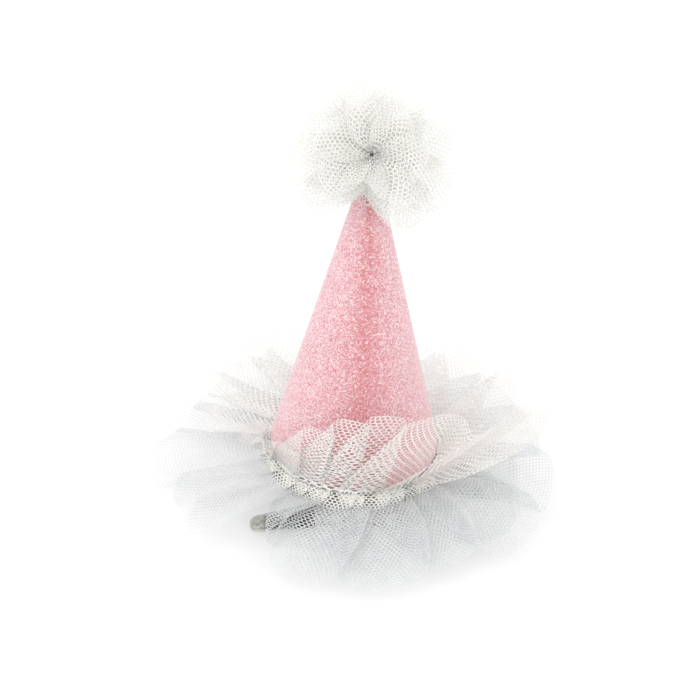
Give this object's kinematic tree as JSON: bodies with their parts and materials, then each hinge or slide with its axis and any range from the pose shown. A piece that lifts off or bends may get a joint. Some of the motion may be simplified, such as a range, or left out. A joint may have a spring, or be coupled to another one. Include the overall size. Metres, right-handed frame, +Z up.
{
  "type": "mini party hat hair clip",
  "caption": "Small glitter-fabric cone hat with a two-tier gathered tulle brim, a tulle pom-pom on the tip and a sprung alligator hair clip under the base.",
  "frame": {"origin": "on the table under the middle of the brim", "axes": "+Z up the cone's axis, -Y the front, +X the way the clip's handle points"},
  "size_m": [0.117, 0.117, 0.1345],
  "materials": {
    "pink_glitter_fabric": "fine glitter on soft pink fabric",
    "white_card": "matte",
    "ivory_tulle": "open hexagonal net",
    "white_tulle": "open hexagonal net",
    "ivory_thread": "matte",
    "clear_glue": "gloss",
    "white_felt": "matte",
    "clip_steel": "satin"
  },
  "bodies": {
    "hat": {"cone_cover": "pink_glitter_fabric", "cone_core": "white_card", "base_disc": "white_card", "brim_ruffle_upper": "ivory_tulle", "brim_ruffle_lower": "white_tulle", "gathering_thread_upper": "ivory_thread", "gathering_thread_lower": "ivory_thread", "brim_glue": "clear_glue", "brim_felt": "white_felt", "clip_glue": "clear_glue", "clip_upper_arm": "clip_steel", "clip_hinge_pin": "clip_steel", "clip_spring": "clip_steel", "pompom_rosette": "ivory_tulle", "pompom_tie_thread": "ivory_thread", "tip_glue": "clear_glue"},
    "clip_lever": {"clip_lever": "clip_steel"}
  },
  "joints": [
    {"name": "clip_open", "type": "hinge", "parent": "hat", "child": "clip_lever", "pos_m": [0.00069, -0.02117, 0.0049], "axis": [0.1442, -0.9895, 0], "range_deg": [0, 22], "stiffness_Nm_per_rad": 0.02, "springref_deg": -20.05, "deforming": ["clip_spring"]}
  ]
}
